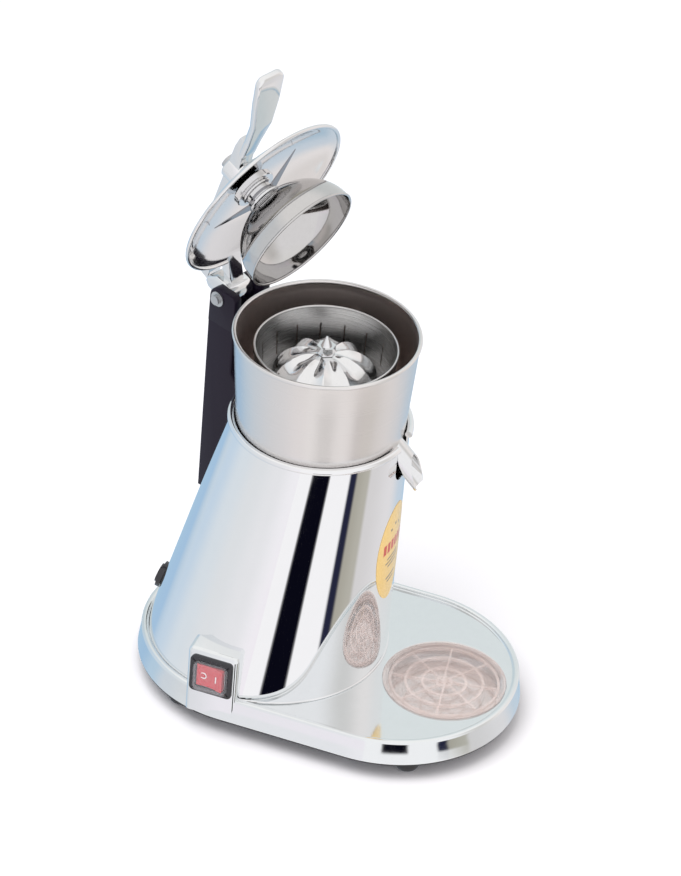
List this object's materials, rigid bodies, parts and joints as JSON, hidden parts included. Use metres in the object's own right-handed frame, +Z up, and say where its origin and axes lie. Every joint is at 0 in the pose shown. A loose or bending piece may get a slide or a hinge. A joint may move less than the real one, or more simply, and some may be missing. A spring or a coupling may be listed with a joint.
{
  "type": "citrus press juicer",
  "caption": "Electric citrus press: oblique polished motor body on an oval base, bowl with slotted strainer and ribbed reamer, hinged hand lever with dish lid and press cup, drip tray.",
  "frame": {"origin": "bottom centre of the base footprint, on the plane the feet stand on", "axes": "+Z up, the spout and drip tray face -Y, the switch is on the -X side"},
  "size_m": [0.2141, 0.316, 0.534],
  "materials": {
    "casting": "polished, slightly uneven cast surface",
    "shell": "mirror polished",
    "steel_satin": "satin, brushed",
    "steel_bright": "mirror polished",
    "alu_polish": "polished cast",
    "alu_raw": "as cast",
    "column_black": "satin black",
    "rubber_black": "matt",
    "cover": "matt black paint",
    "zinc": "zinc plated",
    "laminate": "stacked electrical steel",
    "copper": "enamelled copper wire",
    "nylon": "nylon",
    "black_plastic": "semi-gloss",
    "switch_red": "translucent red",
    "clear_soft": "clear flexible cover",
    "clear_tray": "clear moulded, slightly rose",
    "label": "printed yellow film",
    "seal": "oiled seal",
    "can": "drawn can",
    "ivory": "moulded ivory"
  },
  "bodies": {
    "body": {"base_casting": "casting", "base_gasket": "rubber_black", "bottom_cover": "cover", "cover_screws": "zinc", "rubber_feet": "rubber_black", "foot_screws": "zinc", "body_shell": "shell", "body_screws": "zinc", "juice_bowl": "steel_bright", "spout_tube": "steel_bright", "strainer": "steel_satin", "shaft_seal": "seal", "stator_core": "laminate", "windings_upper": "copper", "windings_lower": "copper", "motor_bell_upper": "alu_raw", "motor_bell_lower": "alu_raw", "bearing_upper": "steel_bright", "bearing_lower": "steel_bright", "motor_bolts": "zinc", "motor_spacers": "zinc", "motor_deck": "steel_satin", "deck_screws": "zinc", "hinge_column": "column_black", "column_backing_plate": "zinc", "column_screws": "zinc", "hinge_pin": "zinc", "pin_clips": "zinc", "switch_bezel": "black_plastic", "switch_case": "black_plastic", "switch_boot": "clear_soft", "cable_gland": "black_plastic", "gland_nut": "black_plastic", "start_capacitor": "can", "capacitor_nut": "zinc", "terminal_block": "ivory", "front_label": "label"},
    "lever": {"lever_arm": "alu_polish", "knuckle_bush": "nylon", "lid_dish": "steel_bright", "press_cup": "steel_bright", "press_stem": "steel_bright", "press_neck": "alu_polish", "leaf_spring": "steel_bright", "press_bolt": "zinc"},
    "spindle": {"drive_shaft": "steel_bright", "rotor_core": "laminate", "cooling_fan": "nylon", "juice_slinger": "rubber_black", "reamer": "alu_polish", "drive_pin": "zinc", "spike_nut": "steel_bright"},
    "rocker": {"switch_rocker": "switch_red"},
    "tray": {"drip_tray": "clear_tray", "drip_grid": "clear_tray"}
  },
  "joints": [
    {"name": "lever_hinge", "type": "hinge", "parent": "body", "child": "lever", "pos_m": [0.03808, 0.11493, 0.3245], "axis": [0.9239, -0.3827, 0], "range_deg": [0, 69]},
    {"name": "spindle_spin", "type": "hinge", "parent": "body", "child": "spindle", "pos_m": [0, 0.023, 0.15], "axis": [0, 0, 1], "continuous": true},
    {"name": "rocker_tilt", "type": "hinge", "parent": "body", "child": "rocker", "pos_m": [-0.1015, 0.062, 0.056], "axis": [0, 0, 1], "range_deg": [0, 14]},
    {"name": "tray_lift", "type": "slide", "parent": "body", "child": "tray", "axis": [0, 0, 1], "range_m": [0, 0.03]}
  ]
}
